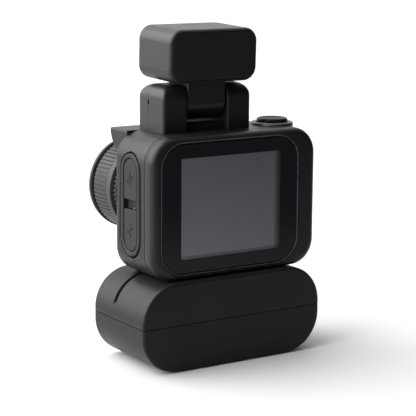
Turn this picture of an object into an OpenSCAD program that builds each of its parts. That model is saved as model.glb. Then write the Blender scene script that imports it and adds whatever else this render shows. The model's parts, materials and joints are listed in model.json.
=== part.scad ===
// Compact action camera with a tilting lamp head on a wide battery base.
// Origin: centre of the base's underside, on the surface it stands on.
// +Z is up, the lens faces -Y, the screen faces +Y and the port covers are on +X.

/* [Base] */
// Length of the base along X
base_l = 76; // [66:0.5:92]
// Depth of the base, front to rear
base_d = 35.6; // [32:0.1:43]
// Height of the base with its feet
base_h = 32.6; // [29:0.1:40]
// Radius of the base's rounded ends
base_end_r = 14.2; // [9:0.1:14.4]
// Height of the seam between the two base shells
base_seam_z = 17.1; // [15:0.1:19]
// Wall of the base shells
base_wall = 2; // [1.7:0.1:2.4]
// Width of the groove over the top of the base
groove_w = 1.4; // [0.8:0.1:1.8]
// Depth of the groove over the top of the base
groove_depth = 1.2; // [0.6:0.1:1.3]
// How far the groove's centre is in front of the base's middle
groove_offset = 3.7; // [0:0.1:6]
// Height at which the groove fades out on the rounded ends
groove_end_z = 23; // [20:0.1:26]
// How far the feet stand proud of the underside
foot_proud = 0.3; // [0.2:0.1:0.8]
// Length of each rubber foot, front to rear
foot_l = 27; // [18:0.5:28]
// Width of each rubber foot
foot_w = 7; // [4:0.5:8]
// Wall radius of the tripod thread (1/4-20)
tripod_r = 2.65; // [2.5:0.05:3.2]
// Length of the tripod thread
tripod_thread_l = 6; // [5:0.1:8]
// Length of the base's battery pack
pack_l = 48; // [36:0.5:52]
// Depth of the base's battery pack
pack_d = 19; // [14:0.5:20]
// Height of the base's battery pack
pack_h = 11; // [7:0.1:12]

/* [Camera body] */
// Width of the camera body
body_w = 70; // [58:0.1:84]
// Depth of the camera body, front to rear
body_d = 27.2; // [24:0.1:32]
// Height of the camera body
body_h = 51.1; // [46:0.1:61.5]
// Radius of the body's four corners, seen from the front
body_corner_r = 9.5; // [7:0.1:13]
// How far the body's middle is to the left of the base's middle
body_shift_x = -1.7; // [-4:0.1:4]
// How far the body's middle is behind the base's middle
body_shift_y = 2.6; // [0:0.1:3]
// Wall of the body shells
body_wall = 1.8; // [1.5:0.1:2.2]
// Thickness of the front shell's front wall
front_wall = 2; // [1.6:0.1:2.6]
// Depth of the rear shell
rear_shell_d = 5.7; // [5.2:0.1:7]
// Size of the square sides of the two locating pegs
peg_size = 5; // [3:0.1:6]
// Height of the locating pegs
peg_h = 1.5; // [1:0.1:1.6]
// Distance between the two locating pegs
peg_spacing = 40; // [34:0.5:44]

/* [Screen] */
// Width of the cover glass
glass_w = 57; // [50:0.1:58]
// Height of the cover glass
glass_h = 45.8; // [38:0.1:46]
// Corner radius of the cover glass
glass_r = 8.5; // [5:0.1:9]
// Thickness of the cover glass
glass_t = 1; // [0.7:0.1:1.2]
// How far the glass's middle is to the side of the body's middle
glass_dx = 2.2; // [0:0.1:3]
// Width of the trim ring around the glass
trim_w = 0.9; // [0.6:0.1:1.2]
// Width of the display's picture area
lcd_w = 42.1; // [34:0.1:44]
// Height of the display's picture area
lcd_h = 35.8; // [28:0.1:36.5]

/* [Ports] */
// Width of the port frame
port_w = 14.4; // [13:0.1:15]
// Height of the port frame
port_h = 38.2; // [36:0.1:40]
// Width of the two port covers
door_w = 9.1; // [8:0.1:9.6]
// Height of the upper port cover
door_top_h = 14.8; // [12:0.1:15.2]
// Height of the lower port cover
door_low_h = 15.1; // [12:0.1:15.4]
// Thickness of the port covers
door_t = 1.4; // [1.1:0.1:1.6]
// Radius of the port covers' pivot pins
door_pin_r = 0.45; // [0.3:0.05:0.5]

/* [Lens] */
// Outer radius of the lens's front ring
lens_r = 17.1; // [15.5:0.1:17.4]
// How far the lens stands out from the body
lens_l = 18; // [16:0.1:21.6]
// Radius of the lens barrel under the rings
barrel_r = 15; // [12.5:0.05:15.2]
// How far the lens axis is to the side of the body's middle
lens_dx = 18.5; // [14:0.1:19]
// Height of the lens axis above the body's underside
lens_dz = 28.9; // [25:0.1:30]
// Length of the front ring
rim_l = 1.8; // [1.2:0.1:2.4]
// Length of the rear, toothed ring
rear_ring_l = 1.8; // [1.4:0.1:2.6]
// Number of ribs on the focus ring
focus_ribs = 68; // [40:1:72]
// Number of teeth on the rear ring
rear_teeth = 60; // [36:1:72]

/* [Hood] */
// Width of the hood over the lens
hood_w = 25.4; // [20:0.1:28]
// How far the hood stands out from the body
hood_l = 9.6; // [7:0.1:11]
// Height of the hood's front at the body
hood_h = 9; // [7:0.1:11]

/* [Hinge block] */
// Width of the hinge block
block_w = 37; // [32:0.1:44]
// Depth of the hinge block
block_d = 17.35; // [15:0.05:20]
// Height of the hinge block
block_h = 16.6; // [15.5:0.1:19]
// How far the block's middle is to the side of the body's middle
block_dx = 6.3; // [2:0.1:8]
// Gap between the two ears
ear_gap = 17.1; // [14:0.1:20.6]
// Height of the hinge axis above the body
hinge_h = 10.3; // [9.6:0.1:11]
// Height of the web between the ears
web_h = 2.6; // [2:0.1:3.2]
// How far the web's rear is set in from the ears' rear
web_inset = 2.2; // [0.5:0.1:4]
// Height of the apron that closes the front between the ears
apron_h = 6.3; // [4:0.1:8]
// Thickness of the apron
apron_t = 1.6; // [1.2:0.1:2]
// Radius of the hinge pin
pin_r = 1.5; // [1.2:0.05:2]

/* [Lamp head] */
// Width of the lamp head
head_w = 36.6; // [31:0.1:44]
// Depth of the lamp head
head_d = 22.3; // [18.5:0.1:26.5]
// Height of the lamp head
head_h = 19; // [16:0.1:22.5]
// Corner radius of the lamp head
head_r = 5; // [3:0.1:6]
// Wall of the lamp head's shell
head_wall = 1.6; // [1.3:0.1:2]
// Gap between the hinge block's top and the lamp head
head_gap = 1.3; // [1:0.1:2.4]
// Angle at which the head is left leaning back
head_lean = 2; // [0:0.5:6]

/* [Controls] */
// Radius of the collar around the shutter button
collar_r = 7.8; // [6.8:0.1:8.4]
// Height of the collar
collar_h = 1; // [0.6:0.1:1.4]
// Radius of the shutter button's cap
shutter_r = 5.75; // [4.8:0.05:6]
// Height of the shutter button's cap above the body
shutter_h = 2.4; // [2.2:0.1:3.2]
// Travel of the shutter button
shutter_travel = 1; // [0.6:0.1:1.2]
// Length of the power button
power_l = 5; // [4:0.1:5.4]
// Width of the power button
power_w = 2.6; // [2:0.1:3]

/* [Fits] */
// Clearance around pieces that are set into a shell
seat_gap = 0.15; // [0.1:0.05:0.25]
// Radial clearance of shafts, pins and rings that turn
run_gap = 0.05; // [0.02:0.01:0.1]
// Clearance at the ends of pieces that turn
side_gap = 0.2; // [0.1:0.05:0.3]

/* [Hidden] */
$fn = 64;
eps = 0.01;

// Colours
black = [0.11, 0.11, 0.12];
dark = [0.17, 0.17, 0.18];
grey = [0.35, 0.36, 0.38];
steel = [0.7, 0.7, 0.72];
brass = [0.75, 0.6, 0.3];
board_green = [0.05, 0.25, 0.15];

// Base, derived
base_z0 = foot_proud;
base_shell_h = base_h - base_z0;
base_mid_z = base_z0 + base_shell_h / 2;
base_r = min(base_end_r, base_shell_h / 2 - 0.5);
deck_z = base_h - base_wall;
floor_z = base_z0 + base_wall;
seam_z = min(base_seam_z, base_h - 12);
lip_h = 1.2;
lip_t = 0.9;
lip_gap = 0.1;
insert_r = 4.4;
insert_boss_r = 6.2;
insert_top = base_z0 + tripod_thread_l + 0.6;
boss_top = insert_top + 1;
screw_r = 1;
screw_head_r = 1.9;
screw_head_h = 1.4;
pillar_r = 2.8;
pillar_x = base_l / 2 - base_r - pillar_r - 0.6;
pillar_y = base_d / 2 - base_wall - pillar_r + 0.5;
ledge_z = base_z0 + 7;
screw_top = seam_z + 6;
foot_x = pillar_x - pillar_r - foot_w / 2 - 1.2;
foot_t = foot_proud + 1;
foot_len = min(foot_l, base_d - 2 * base_r / 3);
tray_t = 1;
tray_l = pack_l + 2;
tray_d = pack_d + 2;
leg_r = 1.6;
leg_x = insert_boss_r + leg_r + 1.5;
pack_z = boss_top + tray_t;
base_board_t = 1;
base_board_w = 40;
base_board_d = 14;
base_board_z = deck_z - 5;
magnet_r = 4;
magnet_h = 2;
magnet_dx = 11;
contact_w = 12;
contact_d = 4;
pin_count = 5;
pin_pitch = 2;
pogo_r = 0.45;
pogo_rise = 0.6;

// Body, derived. The body's own frame has its origin at its underside's centre.
inner_w = body_w - 2 * body_wall;
inner_h = body_h - 2 * body_wall;
inner_r = body_corner_r - body_wall;
front_y = -body_d / 2;
rear_y = body_d / 2;
split_y = rear_y - rear_shell_d;
peg_x = peg_spacing / 2;
glass_dz = body_h / 2;
glass_y = rear_y - 0.2;
trim_depth = glass_t + 0.4;
back_wall = 2.6;
snap_lip_t = 0.8;
snap_lip_l = 1.5;
inside_z = body_wall + magnet_h + 1;
display_t = 1.6;
display_y = rear_y - back_wall - display_t;
board_t = 1;
board_y = -0.7;
cell_w = 38;
plunger_low = body_h - body_wall - 1.3;
spring_h = 2.4;
switch_h = 2;
switch_w = 5;
board_top = plunger_low - spring_h - switch_h;
cell_gap = 0.6;
cell_y = board_y + board_t + cell_gap;
cell_d = min(5, display_y - cell_y - 0.4);
speaker_r = 5;

// Ports, derived
port_y = -1.8;
port_z = body_h / 2 + 0.4;
port_proud = 0.25;
port_x = body_w / 2 + port_proud;
frame_gap = 0.35;
slot_h = door_top_h + door_low_h + 3.3;
slot_top = port_z + slot_h / 2;
slot_low = port_z - slot_h / 2;
door_r = door_w / 2;
door_x = port_x - 0.15 - door_t / 2;
swing_r = norm([door_r, door_t / 2]);
pocket_depth = swing_r + 0.25;
frame_wall = 0.8;
frame_x0 = door_x - pocket_depth - frame_wall;
ear_h = 16;
shelf_x = door_x - door_t / 2 - 0.5;
upper_hinge_z = slot_top - door_r;
lower_hinge_z = slot_low + door_r;
usb_l = 8.94;
usb_t = 3.16;
usb_depth = 7;
usb_z = lower_hinge_z + door_t / 2 + 1.3 + usb_l / 2;
jack_r = 1.8;
jack_body_r = 3;
jack_depth = 10;
jack_z = upper_hinge_z - door_t / 2 - 1.3 - jack_body_r;
socket_y = board_y - usb_t / 2;
jack_y = board_y - jack_body_r;

// Lens, derived. Everything on the axis is drawn around the origin along Y.
lens_y = front_y - lens_l;
rim_y = lens_y + rim_l;
shadow_gap = 0.8;
focus_y0 = rim_y + shadow_gap;
rear_ring_y1 = front_y - 0.15;
rear_ring_y0 = rear_ring_y1 - rear_ring_l;
focus_y1 = rear_ring_y0 - side_gap;
focus_r = lens_r - 0.2;
rear_ring_r = lens_r - 1.3;
rib_depth = 0.45;
neck_r = barrel_r - 1.6;
barrel_bore_r = neck_r - 1.4;
nut_t = 1.5;
neck_y1 = front_y + front_wall + nut_t + 0.4;
window_r = barrel_bore_r;
sensor_w = 8;
sensor_h = 6.4;
sensor_t = 0.8;
board_reach = min(neck_r, body_w / 2 - body_wall - 1.3 - lens_dx);

// Hinge block and head, derived
block_y1 = front_y + block_d;
block_split_y = front_y + 7;
block_edge_r = 4.5;
block_top_r = 5;
hinge_y = block_y1 - 7.55;
hinge_z = body_h + hinge_h;
arm_r = min(block_y1 - 0.85 - hinge_y, hinge_y - front_y - apron_t - 0.8, hinge_h - web_h - 0.6);
arm_w = ear_gap - 1.2;
washer_t = (ear_gap - arm_w) / 2 - 0.05;
block_screw_r = 1;
foot_screw_l = 5;
head_bottom = block_h - hinge_h + head_gap;
head_mid_y = 0.25;
head_mid_z = head_bottom + head_h / 2;
cover_t = 1.6;
window_t = 1.5;
reflector_d = 5;
led_board_t = 1;
head_y0 = head_mid_y - head_d / 2;
head_y1 = head_mid_y + head_d / 2;
led_y0 = head_y0 + window_t + reflector_d;
led_y1 = led_y0 + led_board_t;
tab_y0 = led_y1 + 0.3;
tab_y1 = arm_r - 1.5;
head_boss_r = 1.8;
head_screw_r = 0.8;
head_screw_l = 5;

// Controls, derived
shutter_x = -body_w / 2 + body_corner_r + 0.6;
shutter_y = -0.7;
stem_r = 2.4;
cap_z = body_h + shutter_travel + 0.1;
cap_h = body_h + shutter_h - cap_z;
plunger_flange_h = 0.6;
skirt_h = 2.2;
nub_h = 1.2;
spring_r = 2.2;
spring_wire = 0.3;
spring_turns = 3;
power_angle = 50;
power_y = 3;
power_proud = 0.5;

// ---- shapes -------------------------------------------------------------

// Rectangle with round corners, centred.
module round_rect(w, h, r) {
    square([w - 2 * r, h], center = true);
    square([w, h - 2 * r], center = true);
    for (sx = [-1, 1], sy = [-1, 1])
        translate([sx * (w / 2 - r), sy * (h / 2 - r)]) circle(r);
}

// Slab with round corners seen along Y, from y0 to y1, centred on the Y axis.
module slab_y(w, h, r, y0, y1) {
    translate([0, y1, 0]) rotate([90, 0, 0]) linear_extrude(y1 - y0) round_rect(w, h, r);
}

// Rod along Y from y0 to y1.
module rod_y(r, y0, y1) {
    translate([0, y1, 0]) rotate([90, 0, 0]) cylinder(r = r, h = y1 - y0);
}

// Tube along Y from y0 to y1.
module tube_y(r, bore, y0, y1) {
    difference() {
        rod_y(r, y0, y1);
        rod_y(bore, y0 - 1, y1 + 1);
    }
}

// Block from corner a to corner b.
module block(a, b) {
    translate(a) cube(b - a);
}

// Upright slot seen along X, from x0 to x1: w along Y, h along Z.
module slot_x(w, h, x0, x1) {
    translate([x0, 0, 0]) rotate([90, 0, 90]) linear_extrude(x1 - x0) {
        square([w, h - w], center = true);
        for (s = [-1, 1]) translate([0, s * (h / 2 - w / 2)]) circle(w / 2);
    }
}

// Ring with teeth on the outside, as a flat outline: r at the tips.
module toothed_outline(r, depth, count, fill) {
    step = 360 / count;
    polygon([
        for (i = [0:count - 1], k = [0:3])
            let (a = i * step + step * [0, fill, fill + 0.12, 0.88][k],
                 rr = k < 2 ? r : r - depth)
            [rr * cos(a), rr * sin(a)]
    ]);
}

module at_body() { translate([body_shift_x, body_shift_y, base_h]) children(); }
module at_lens() { at_body() translate([lens_dx, 0, lens_dz]) children(); }
module at_port() { at_body() translate([0, port_y, port_z]) children(); }
module at_hinge() { at_body() translate([block_dx, hinge_y, hinge_z]) children(); }
module at_head() { at_hinge() rotate([-head_lean, 0, 0]) children(); }
module at_shutter() { at_body() translate([shutter_x, shutter_y, 0]) children(); }

// The power button lies square on the body's rounded shoulder.
module at_power() {
    at_body() translate([-body_w / 2 + body_corner_r, power_y, body_h - body_corner_r])
        rotate([0, -power_angle, 0]) children();
}

module base_solid(inset) {
    translate([0, 0, base_mid_z])
        slab_y(base_l - 2 * inset, base_shell_h - 2 * inset, base_r - inset,
               -base_d / 2 + inset, base_d / 2 - inset);
}

module pillar_places() {
    for (sx = [-1, 1], sy = [-1, 1]) translate([sx * pillar_x, sy * pillar_y, 0]) children();
}

module below(z) {
    translate([-base_l, -base_d, z - base_h]) cube([2 * base_l, 2 * base_d, base_h]);
}

module above(z) {
    translate([-base_l, -base_d, z]) cube([2 * base_l, 2 * base_d, base_h]);
}

// ---- base ---------------------------------------------------------------

module base_lower_shell() {
    color(black) difference() {
        union() {
            intersection() {
                difference() {
                    base_solid(0);
                    base_solid(base_wall);
                }
                below(seam_z);
            }
            intersection() {
                difference() {
                    base_solid(base_wall - lip_t);
                    base_solid(base_wall);
                }
                above(seam_z - 0.5);
                below(seam_z + lip_h);
            }
            intersection() {
                base_solid(base_wall / 2);
                union() {
                    pillar_places() cylinder(r = pillar_r, h = seam_z);
                    cylinder(r = insert_boss_r, h = boss_top);
                }
            }
        }
        pillar_places() {
            translate([0, 0, -1]) cylinder(r = screw_head_r + 0.2, h = ledge_z + 1);
            cylinder(r = screw_r + 0.1, h = seam_z + 1);
        }
        translate([0, 0, base_z0 - 1]) cylinder(r = insert_r, h = insert_top - base_z0 + 1);
        for (s = [-1, 1]) translate([s * foot_x, 0, 0]) foot_shape(seat_gap);
    }
}

module foot_shape(grow) {
    w = foot_w + 2 * grow;
    l = foot_len + 2 * grow;
    linear_extrude(foot_t) {
        square([w, l - w], center = true);
        for (s = [-1, 1]) translate([0, s * (l / 2 - w / 2)]) circle(w / 2);
    }
}

module base_upper_shell() {
    color(black) difference() {
        union() {
            intersection() {
                difference() {
                    base_solid(0);
                    base_solid(base_wall);
                }
                above(seam_z);
            }
            intersection() {
                base_solid(base_wall / 2);
                above(seam_z);
                pillar_places() cylinder(r = pillar_r, h = base_h);
            }
            for (s = [-1, 1])
                translate([body_shift_x + s * peg_x - peg_size / 2,
                           body_shift_y - peg_size / 2, deck_z])
                    cube([peg_size, peg_size, base_wall + peg_h]);
        }
        intersection() {
            difference() {
                base_solid(base_wall - lip_t - lip_gap);
                base_solid(base_wall + lip_gap);
            }
            below(seam_z + lip_h + lip_gap);
        }
        pillar_places() cylinder(r = screw_r + 0.05, h = screw_top + 0.5);
        intersection() {
            difference() {
                base_solid(-1);
                base_solid(groove_depth);
            }
            translate([-base_l, -groove_offset - groove_w / 2, groove_end_z])
                cube([2 * base_l, groove_w, base_h]);
        }
        translate([body_shift_x, body_shift_y, deck_z - 1])
            contact_shape(seat_gap, base_wall + 2);
    }
}

// Slot and block of the base's contacts, grown by gap on each side.
module contact_shape(gap, h) {
    translate([-contact_w / 2 - gap, -contact_d / 2 - gap, 0])
        cube([contact_w + 2 * gap, contact_d + 2 * gap, h]);
}

module rubber_feet() {
    color(dark) for (s = [-1, 1]) translate([s * foot_x, 0, 0]) foot_shape(0);
}

module tripod_insert() {
    color(brass) translate([0, 0, base_z0]) difference() {
        cylinder(r = insert_r, h = insert_top - base_z0);
        translate([0, 0, -1]) cylinder(r = tripod_r, h = tripod_thread_l + 1);
    }
}

module base_screws() {
    color(steel) pillar_places() {
        translate([0, 0, ledge_z - screw_head_h]) cylinder(r = screw_head_r, h = screw_head_h);
        translate([0, 0, ledge_z - 0.5]) cylinder(r = screw_r, h = screw_top - ledge_z + 0.5);
    }
}

module base_battery() {
    color(grey) translate([0, 0, pack_z + pack_h / 2])
        slab_y(pack_l, pack_h, 2, -pack_d / 2, pack_d / 2);
}

module battery_tray() {
    color(dark) {
        translate([-tray_l / 2, -tray_d / 2, boss_top]) cube([tray_l, tray_d, tray_t]);
        for (sx = [-1, 1], sy = [-1, 1])
            translate([sx * leg_x, sy * tray_d / 4, floor_z])
                cylinder(r = leg_r, h = boss_top - floor_z + 0.5);
        for (s = [-1, 1])
            translate([s * (tray_l / 2 - 0.4) - 0.4, -tray_d / 4, boss_top]) cube([0.8, tray_d / 2, 4]);
    }
}

module base_board() {
    color(board_green) translate([body_shift_x, body_shift_y, base_board_z])
        translate([-base_board_w / 2, -base_board_d / 2, 0])
            cube([base_board_w, base_board_d, base_board_t]);
}

module base_magnets() {
    color(steel) for (s = [-1, 1])
        translate([body_shift_x + s * magnet_dx, body_shift_y, deck_z - magnet_h])
            cylinder(r = magnet_r, h = magnet_h);
}

module pin_places(z) {
    for (i = [0:pin_count - 1])
        translate([body_shift_x + (i - (pin_count - 1) / 2) * pin_pitch, body_shift_y, z]) children();
}

module contact_block() {
    color(dark) difference() {
        translate([body_shift_x, body_shift_y, base_board_z + base_board_t])
            contact_shape(0, base_h - base_board_z - base_board_t);
        pin_places(base_board_z) cylinder(r = pogo_r + run_gap, h = base_h);
    }
}

module contact_pins() {
    color(brass) pin_places(base_board_z + base_board_t)
        cylinder(r = pogo_r, h = base_h + pogo_rise - base_board_z - base_board_t);
}

// ---- camera body --------------------------------------------------------

module body_solid(inset, y0, y1) {
    translate([0, 0, body_h / 2])
        slab_y(body_w - 2 * inset, body_h - 2 * inset, body_corner_r - inset, y0, y1);
}

module glass_slab(grow, y0, y1) {
    translate([glass_dx, 0, glass_dz])
        slab_y(glass_w + 2 * grow, glass_h + 2 * grow, glass_r + grow, y0, y1);
}

module front_shell() {
    color(black) difference() {
        at_body() difference() {
            body_solid(0, front_y, split_y);
            body_solid(body_wall, front_y + front_wall, split_y + 1);
            for (s = [-1, 1])
                translate([s * peg_x - peg_size / 2 - seat_gap, -peg_size / 2 - seat_gap, -1])
                    cube([peg_size + 2 * seat_gap, peg_size + 2 * seat_gap, body_wall + 2]);
            translate([0, 0, -1]) contact_shape(seat_gap, body_wall + 2);
        }
        at_lens() rod_y(neck_r + run_gap, front_y - 1, front_y + front_wall + 1);
        at_port() slot_x(port_w, port_h, body_w / 4, body_w);
        at_shutter() translate([0, 0, body_h / 2]) cylinder(r = stem_r + 2 * run_gap, h = body_h);
        at_power() translate([0, 0, inner_r - 1]) power_shape(2 * run_gap, body_wall + 4);
        at_body() translate([block_dx, 0, 0]) foot_screw_places()
            translate([0, 0, -body_wall - 1]) cylinder(r = block_screw_r + 0.1, h = body_wall + 2);
    }
}

module rear_shell() {
    color(black) at_body() difference() {
        union() {
            body_solid(0, split_y, rear_y);
            body_solid(body_wall + lip_gap, split_y - snap_lip_l, rear_y - 1);
        }
        body_solid(body_wall + lip_gap + snap_lip_t, split_y - snap_lip_l - 1, rear_y - back_wall);
        translate([glass_dx, 0, glass_dz])
            slab_y(lcd_w + 2, lcd_h + 2, 1, split_y, rear_y + 1);
        glass_slab(trim_w + seat_gap, glass_y - trim_depth, rear_y + 1);
    }
}

module screen_trim() {
    color(dark) at_body() difference() {
        glass_slab(trim_w, glass_y - trim_depth, rear_y - 0.05);
        glass_slab(seat_gap, glass_y - glass_t, rear_y + 1);
        glass_slab(-1.5, glass_y - trim_depth - 1, rear_y + 1);
    }
}

module screen_glass() {
    color([0.05, 0.05, 0.06]) at_body() glass_slab(0, glass_y - glass_t, glass_y);
}

module display_panel() {
    color(grey) at_body() translate([glass_dx, 0, glass_dz]) {
        slab_y(lcd_w + 1.6, lcd_h + 1.6, 0.8, display_y, glass_y - glass_t);
    }
}

module main_board() {
    color(board_green) at_body()
        block([-inner_w / 2 + 2, board_y, inside_z], [frame_x0 - 0.4, board_y + board_t, board_top]);
}

module camera_battery() {
    color(grey) at_body() translate([0, 0, (inside_z + board_top) / 2])
        slab_y(cell_w, board_top - inside_z - 4, 1.5, cell_y, cell_y + cell_d);
}

module camera_magnets() {
    color(steel) at_body() for (s = [-1, 1])
        translate([s * magnet_dx, 0, body_wall]) cylinder(r = magnet_r, h = magnet_h);
}

// Block with gold pads in the body's underside, over the base's contact pins.
module contact_pads() {
    color(brass) at_body() translate([0, 0, pogo_rise + run_gap])
        contact_shape(0, body_wall + 1 - pogo_rise - run_gap);
}

module speaker() {
    color(grey) at_body() translate([-inner_w / 2 + speaker_r + 2, 0, body_h / 3])
        rod_y(speaker_r, front_y + front_wall, front_y + front_wall + 3);
}

// ---- ports --------------------------------------------------------------

module port_frame() {
    color(dark) at_port() difference() {
        union() {
            slot_x(port_w - 2 * frame_gap, port_h - 2 * frame_gap, body_w / 2 - body_wall, port_x);
            slot_x(door_w + 2 * seat_gap + 2 * frame_wall, slot_h + 2 * seat_gap + 2 * frame_wall,
                   frame_x0, port_x - 0.5);
            block([body_w / 2 - body_wall - 1, -port_w / 2 - 0.6, -ear_h / 2],
                  [body_w / 2 - body_wall, port_w / 2 + 0.6, ear_h / 2]);
        }
        difference() {
            slot_x(door_w + 2 * seat_gap, slot_h + 2 * seat_gap, door_x - pocket_depth, port_x + 1);
            shelf();
        }
        for (z = [upper_hinge_z, lower_hinge_z])
            translate([door_x, 0, z - port_z])
                rod_y(door_pin_r + run_gap, -door_r - 1 - side_gap, door_r + 1 + side_gap);
        translate([0, 0, usb_z - port_z]) socket_hole(usb_t, usb_l);
        translate([0, jack_y - port_y, jack_z - port_z])
            rotate([0, 90, 0]) cylinder(r = jack_body_r + run_gap, h = shelf_x + eps);
    }
}

// Floor behind the doors, clear of the pockets that their ends swing into.
module shelf() {
    low = lower_hinge_z + door_t / 2 + 0.9 - port_z;
    high = upper_hinge_z - door_t / 2 - 0.9 - port_z;
    block([0, -port_w, low], [shelf_x, port_w, high]);
}

// Rounded slit along X for a flat socket, thick along Y and long along Z.
module socket_hole(t, l) {
    translate([0, socket_y - port_y, 0]) slot_x(t, l, 0, shelf_x + eps);
}

module usb_socket() {
    color(steel) at_body() translate([0, socket_y, usb_z]) difference() {
        slot_x(usb_t - 0.1, usb_l - 0.1, shelf_x - usb_depth, shelf_x - 0.1);
        difference() {
            slot_x(usb_t - 0.7, usb_l - 0.7, shelf_x - usb_depth + 1, shelf_x);
            block([0, -0.35, -usb_l / 2 + 1.6], [shelf_x - 1, 0.35, usb_l / 2 - 1.6]);
        }
    }
}

module audio_socket() {
    color(dark) at_body() translate([0, jack_y, jack_z]) rotate([0, 90, 0]) difference() {
        translate([0, 0, shelf_x - jack_depth]) cylinder(r = jack_body_r, h = jack_depth - 0.1);
        translate([0, 0, shelf_x - jack_depth + 1]) cylinder(r = jack_r, h = jack_depth);
    }
}

// Port cover with its pivot at the origin: dir 1 has the round end upwards.
module port_cover(h, dir) {
    color(dark) {
        difference() {
            union() {
                rotate([0, 90, 0]) translate([0, 0, -door_t / 2]) cylinder(r = door_r, h = door_t);
                translate([-door_t / 2, -door_r, dir > 0 ? door_r - h : 0])
                    cube([door_t, door_w, h - door_r]);
            }
            mark(h, dir);
        }
        rod_y(door_pin_r, -door_r - 0.9, -door_r + 0.5);
        rod_y(door_pin_r, door_r - 0.5, door_r + 0.9);
    }
}

// Plain engraved marks: a line with dots, which stands for no make.
module mark(h, dir) {
    z = -dir * (h / 2 - door_r);
    block([door_t / 2 - 0.2, -0.2, z - 2.8], [door_t, 0.2, z + 2.8]);
    for (k = [-1, 1])
        translate([door_t / 2 - 0.2, k * 1.4, z + k * 0.8]) rotate([0, 90, 0]) cylinder(r = 0.5, h = 1);
}

module upper_port_cover() {
    at_body() translate([door_x, port_y, upper_hinge_z]) port_cover(door_top_h, 1);
}

module lower_port_cover() {
    at_body() translate([door_x, port_y, lower_hinge_z]) port_cover(door_low_h, -1);
}

// ---- lens ---------------------------------------------------------------

module lens_barrel() {
    color(black) at_lens() difference() {
        union() {
            rod_y(barrel_r, rim_y, front_y);
            rod_y(neck_r, front_y - 1, neck_y1);
        }
        rod_y(barrel_bore_r, rim_y - 1, neck_y1 + 1);
    }
}

module lens_nut() {
    color(steel) at_lens() tube_y(neck_r + 0.9, neck_r, front_y + front_wall, front_y + front_wall + nut_t);
}

module lens_front_ring() {
    color(black) at_lens() difference() {
        rod_y(lens_r, lens_y, rim_y);
        rod_y(window_r + 0.4, lens_y - 1, rim_y + 1);
        translate([0, lens_y - eps, 0]) rotate([-90, 0, 0])
            cylinder(r1 = lens_r - 1.2, r2 = window_r + 0.4, h = rim_l * 0.8);
    }
}

module focus_ring() {
    rib_y0 = focus_y0 + 0.8;
    rib_y1 = focus_y1 - 3;
    color(dark) at_lens() difference() {
        union() {
            rod_y(focus_r - rib_depth - 0.1, focus_y0, rib_y0);
            translate([0, rib_y1, 0]) rotate([90, 0, 0])
                linear_extrude(rib_y1 - rib_y0) toothed_outline(focus_r, rib_depth, focus_ribs, 0.5);
            rod_y(focus_r + 0.1, rib_y1, focus_y1);
        }
        rod_y(barrel_r + run_gap, focus_y0 - 1, focus_y1 + 1);
    }
}

module rear_ring() {
    color(black) at_lens() difference() {
        translate([0, rear_ring_y1, 0]) rotate([90, 0, 0])
            linear_extrude(rear_ring_l) toothed_outline(rear_ring_r, 0.5, rear_teeth, 0.4);
        rod_y(barrel_r + run_gap, rear_ring_y0 - 1, rear_ring_y1 + 1, $fn = 192);
    }
}

module front_lens() {
    color([0.2, 0.25, 0.35]) at_lens() intersection() {
        rod_y(window_r, rim_y - 1.2, rim_y + 3);
        translate([0, rim_y - 1.2 + 30, 0]) sphere(30, $fn = 96);
    }
}

module inner_baffle() {
    color(black) at_lens() tube_y(barrel_bore_r, 7, rim_y + 3, rim_y + 4.5);
}

module rear_lens() {
    color([0.2, 0.25, 0.35]) at_lens() {
        rod_y(barrel_bore_r, focus_y1 - 3, focus_y1);
        rod_y(6, focus_y1, front_y - 0.5);
    }
}

module image_sensor() {
    color(grey) at_lens()
        block([-sensor_w / 2, neck_y1 - sensor_t, -sensor_h / 2], [sensor_w / 2, neck_y1, sensor_h / 2]);
}

module sensor_board() {
    color(board_green) at_lens()
        slab_y(2 * board_reach, 2 * neck_r, 4, neck_y1, neck_y1 + 0.8);
}

module lens_hood() {
    color(black) difference() {
        at_body() translate([lens_dx, 0, body_h]) rotate([90, 0, 90])
            translate([0, 0, -hood_w / 2]) linear_extrude(hood_w) hood_profile();
        at_lens() rod_y(lens_r + 0.6, lens_y - 5, body_d);
    }
}

// Side view of the hood: flat on top, its nose curving back to the body.
module hood_profile() {
    steps = 8;
    y0 = front_y - hood_l;
    polygon([
        [front_y, 0],
        for (i = [0:steps])
            let (t = 90 * i / steps) [y0 + hood_l * (1 - cos(t)), -hood_h * sin(t)]
    ]);
}

// ---- controls -----------------------------------------------------------

// Raised ring that also fills in over the body's rounded shoulder.
module shutter_collar() {
    color(dark) difference() {
        at_shutter() difference() {
            translate([0, 0, body_h - skirt_h]) cylinder(r = collar_r, h = skirt_h + collar_h);
            cylinder(r = shutter_r + side_gap, h = 2 * body_h);
        }
        at_body() body_solid(0, front_y, rear_y);
    }
}

module shutter_button() {
    dish_r = 22;
    color([0.08, 0.08, 0.09]) at_shutter() difference() {
        union() {
            translate([0, 0, cap_z]) cylinder(r = shutter_r, h = cap_h);
            translate([0, 0, plunger_low]) cylinder(r = stem_r, h = cap_z - plunger_low);
            translate([0, 0, plunger_low]) cylinder(r = stem_r + 0.4, h = plunger_flange_h);
        }
        translate([0, 0, body_h + shutter_h + dish_r - 0.7]) sphere(dish_r, $fn = 96);
    }
}

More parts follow.
